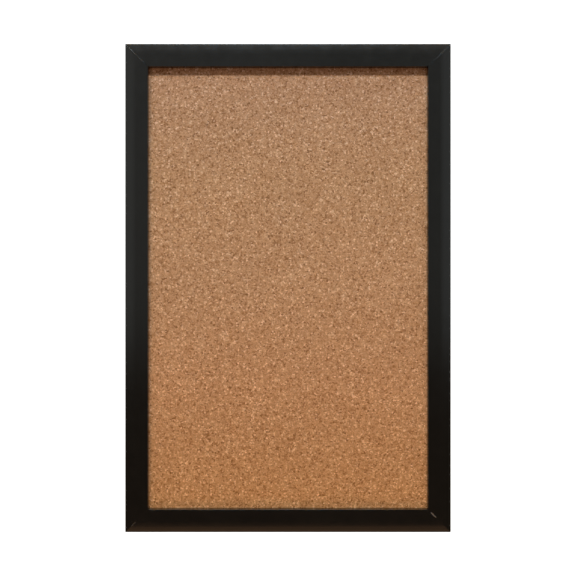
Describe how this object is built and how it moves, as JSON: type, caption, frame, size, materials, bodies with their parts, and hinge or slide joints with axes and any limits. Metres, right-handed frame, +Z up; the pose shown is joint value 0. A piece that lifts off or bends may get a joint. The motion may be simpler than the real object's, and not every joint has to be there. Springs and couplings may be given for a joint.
{
  "type": "framed cork bulletin board",
  "caption": "Upright pinboard: granulated cork field set back in a mitred black satin frame, with turn buttons, swinging hanger rings and wall bumpers behind.",
  "frame": {"origin": "on the wall plane, where the flat ends of the bumpers lie, behind the middle of the board", "axes": "+Z up along the board's long side, +Y back into the wall, so the cork faces -Y; +X to the reader's right"},
  "size_m": [0.3, 0.025, 0.45],
  "materials": {
    "foil_wrapped_fibreboard": "satin",
    "granulated_cork": "matte",
    "soft_fibreboard": "matte",
    "hardboard": "matte",
    "zinc_plated_steel": "satin",
    "black_rubber": "matte"
  },
  "bodies": {
    "board": {"top_rail": "foil_wrapped_fibreboard", "bottom_rail": "foil_wrapped_fibreboard", "left_stile": "foil_wrapped_fibreboard", "right_stile": "foil_wrapped_fibreboard", "corner_v_nails": "zinc_plated_steel", "cork_sheet": "granulated_cork", "core_board": "soft_fibreboard", "back_panel": "hardboard", "turn_button_screws": "zinc_plated_steel", "hanger_strap_left": "zinc_plated_steel", "hanger_strap_right": "zinc_plated_steel", "hanger_screws": "zinc_plated_steel", "wall_bumper_left_upper": "black_rubber", "wall_bumper_left_lower": "black_rubber", "wall_bumper_right_upper": "black_rubber", "wall_bumper_right_lower": "black_rubber"},
    "turn_button_left_upper": {"turn_button_left_upper": "zinc_plated_steel"},
    "turn_button_left_lower": {"turn_button_left_lower": "zinc_plated_steel"},
    "turn_button_right_upper": {"turn_button_right_upper": "zinc_plated_steel"},
    "turn_button_right_lower": {"turn_button_right_lower": "zinc_plated_steel"},
    "turn_button_top": {"turn_button_top": "zinc_plated_steel"},
    "turn_button_bottom": {"turn_button_bottom": "zinc_plated_steel"},
    "d_ring_left": {"d_ring_left": "zinc_plated_steel"},
    "d_ring_right": {"d_ring_right": "zinc_plated_steel"}
  },
  "joints": [
    {"name": "turn_left_upper", "type": "hinge", "parent": "board", "child": "turn_button_left_upper", "pos_m": [-0.142, -0.0041, 0.08], "axis": [0, 1, 0], "continuous": true},
    {"name": "turn_left_lower", "type": "hinge", "parent": "board", "child": "turn_button_left_lower", "pos_m": [-0.142, -0.0041, -0.08], "axis": [0, 1, 0], "continuous": true},
    {"name": "turn_right_upper", "type": "hinge", "parent": "board", "child": "turn_button_right_upper", "pos_m": [0.142, -0.0041, 0.08], "axis": [0, 1, 0], "continuous": true},
    {"name": "turn_right_lower", "type": "hinge", "parent": "board", "child": "turn_button_right_lower", "pos_m": [0.142, -0.0041, -0.08], "axis": [0, 1, 0], "continuous": true},
    {"name": "turn_top", "type": "hinge", "parent": "board", "child": "turn_button_top", "pos_m": [0, -0.0041, 0.217], "axis": [0, 1, 0], "continuous": true},
    {"name": "turn_bottom", "type": "hinge", "parent": "board", "child": "turn_button_bottom", "pos_m": [0, -0.0041, -0.217], "axis": [0, 1, 0], "continuous": true},
    {"name": "swing_ring_left", "type": "hinge", "parent": "board", "child": "d_ring_left", "pos_m": [-0.1425, -0.0027, 0.15], "axis": [1, 0, 0], "range_deg": [0, 180]},
    {"name": "swing_ring_right", "type": "hinge", "parent": "board", "child": "d_ring_right", "pos_m": [0.1425, -0.0027, 0.15], "axis": [1, 0, 0], "range_deg": [0, 180]}
  ]
}
